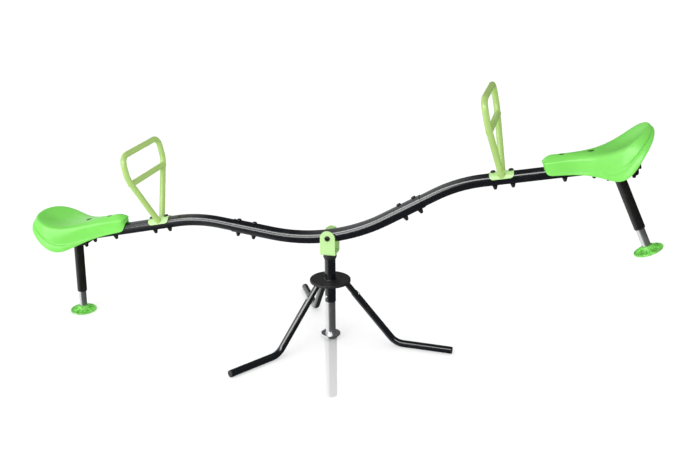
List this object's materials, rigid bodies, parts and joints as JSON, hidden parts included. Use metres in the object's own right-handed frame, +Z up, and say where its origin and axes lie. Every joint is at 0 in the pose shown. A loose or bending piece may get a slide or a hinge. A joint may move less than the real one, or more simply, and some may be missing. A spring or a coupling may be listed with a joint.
{
  "type": "spinning seesaw",
  "caption": "Garden seesaw whose bent tube beam tilts and spins on a staked post with a tripod, with saddle seats, loop handles and sprung feet.",
  "frame": {"origin": "on the post's axis at ground level, where the stake enters the ground", "axes": "+Z up along the post; +X along the beam, towards the end that is up at rest; +Y across the beam"},
  "size_m": [2.0161, 0.6974, 1.0585],
  "materials": {
    "black_powder_coat": "gloss",
    "lime_powder_coat": "satin",
    "green_plastic": "satin moulded",
    "black_plastic": "matt moulded",
    "nylon": "matt moulded",
    "galvanised_steel": "bright zinc",
    "zinc_plate": "zinc plated",
    "spring_steel": "oiled",
    "black_fastener": "black coated"
  },
  "bodies": {
    "base": {"ground_stake": "galvanised_steel", "stake_flange": "galvanised_steel", "mast_tube": "galvanised_steel", "post_sleeve": "black_powder_coat", "post_screw": "zinc_plate", "hub_plate": "black_powder_coat", "leg_screws": "zinc_plate", "leg_end_plugs": "black_plastic", "upper_bush": "black_plastic", "lower_bush": "nylon", "leg_stub_front_left": "black_powder_coat", "leg_stub_front_right": "black_powder_coat", "leg_stub_rear": "black_powder_coat", "leg_front_left": "black_powder_coat", "leg_front_right": "black_powder_coat", "leg_rear": "black_powder_coat"},
    "head": {"clevis": "lime_powder_coat", "spindle": "zinc_plate", "thrust_washer": "nylon", "spindle_washer": "zinc_plate", "spindle_bolt": "zinc_plate", "pivot_bolt": "black_fastener", "pivot_nut": "zinc_plate"},
    "beam": {"beam_centre_tube": "black_powder_coat", "beam_end_caps": "black_plastic", "bracket_bolts": "black_fastener", "bumper_bracket_left": "black_powder_coat", "bumper_bracket_right": "black_powder_coat", "bumper_guides": "black_plastic", "bumper_spring_left": "spring_steel", "bumper_spring_right": "spring_steel", "bumper_tube_left": "black_powder_coat", "bumper_tube_right": "black_powder_coat", "handle_bolts": "black_fastener", "handle_crossbar_left": "lime_powder_coat", "handle_crossbar_right": "lime_powder_coat", "handle_loop_left": "lime_powder_coat", "handle_loop_right": "lime_powder_coat", "handle_saddle_left": "lime_powder_coat", "handle_saddle_right": "lime_powder_coat", "lock_nuts": "zinc_plate", "nut_caps": "black_plastic", "outer_tube_left": "black_powder_coat", "outer_tube_right": "black_powder_coat", "pivot_bushes": "nylon", "pivot_cross_tube": "zinc_plate", "seat_bolts": "black_fastener", "seat_left": "green_plastic", "seat_right": "green_plastic", "splice_bolts": "black_fastener", "spring_plugs": "nylon"},
    "bumper_left": {"plunger_tube_left": "galvanised_steel", "piston_left": "nylon", "foot_left": "green_plastic"},
    "bumper_right": {"plunger_tube_right": "galvanised_steel", "piston_right": "nylon", "foot_right": "green_plastic"}
  },
  "joints": [
    {"name": "spin", "type": "hinge", "parent": "base", "child": "head", "pos_m": [0, 0, 0.293], "axis": [0, 0, 1], "continuous": true},
    {"name": "tilt", "type": "hinge", "parent": "head", "child": "beam", "pos_m": [0, 0, 0.3525], "axis": [0, 1, 0], "range_deg": [0, 23.5]},
    {"name": "left_bumper_travel", "type": "slide", "parent": "beam", "child": "bumper_left", "axis": [0.0288, 0, 0.9996], "range_m": [0, 0.03], "stiffness_N_per_m": 6000, "springref_m": -0.01, "deforming": ["bumper_spring_left"]},
    {"name": "right_bumper_travel", "type": "slide", "parent": "beam", "child": "bumper_right", "axis": [-0.425, 0, 0.9052], "range_m": [0, 0.03], "stiffness_N_per_m": 6000, "springref_m": -0.01, "deforming": ["bumper_spring_right"]}
  ]
}
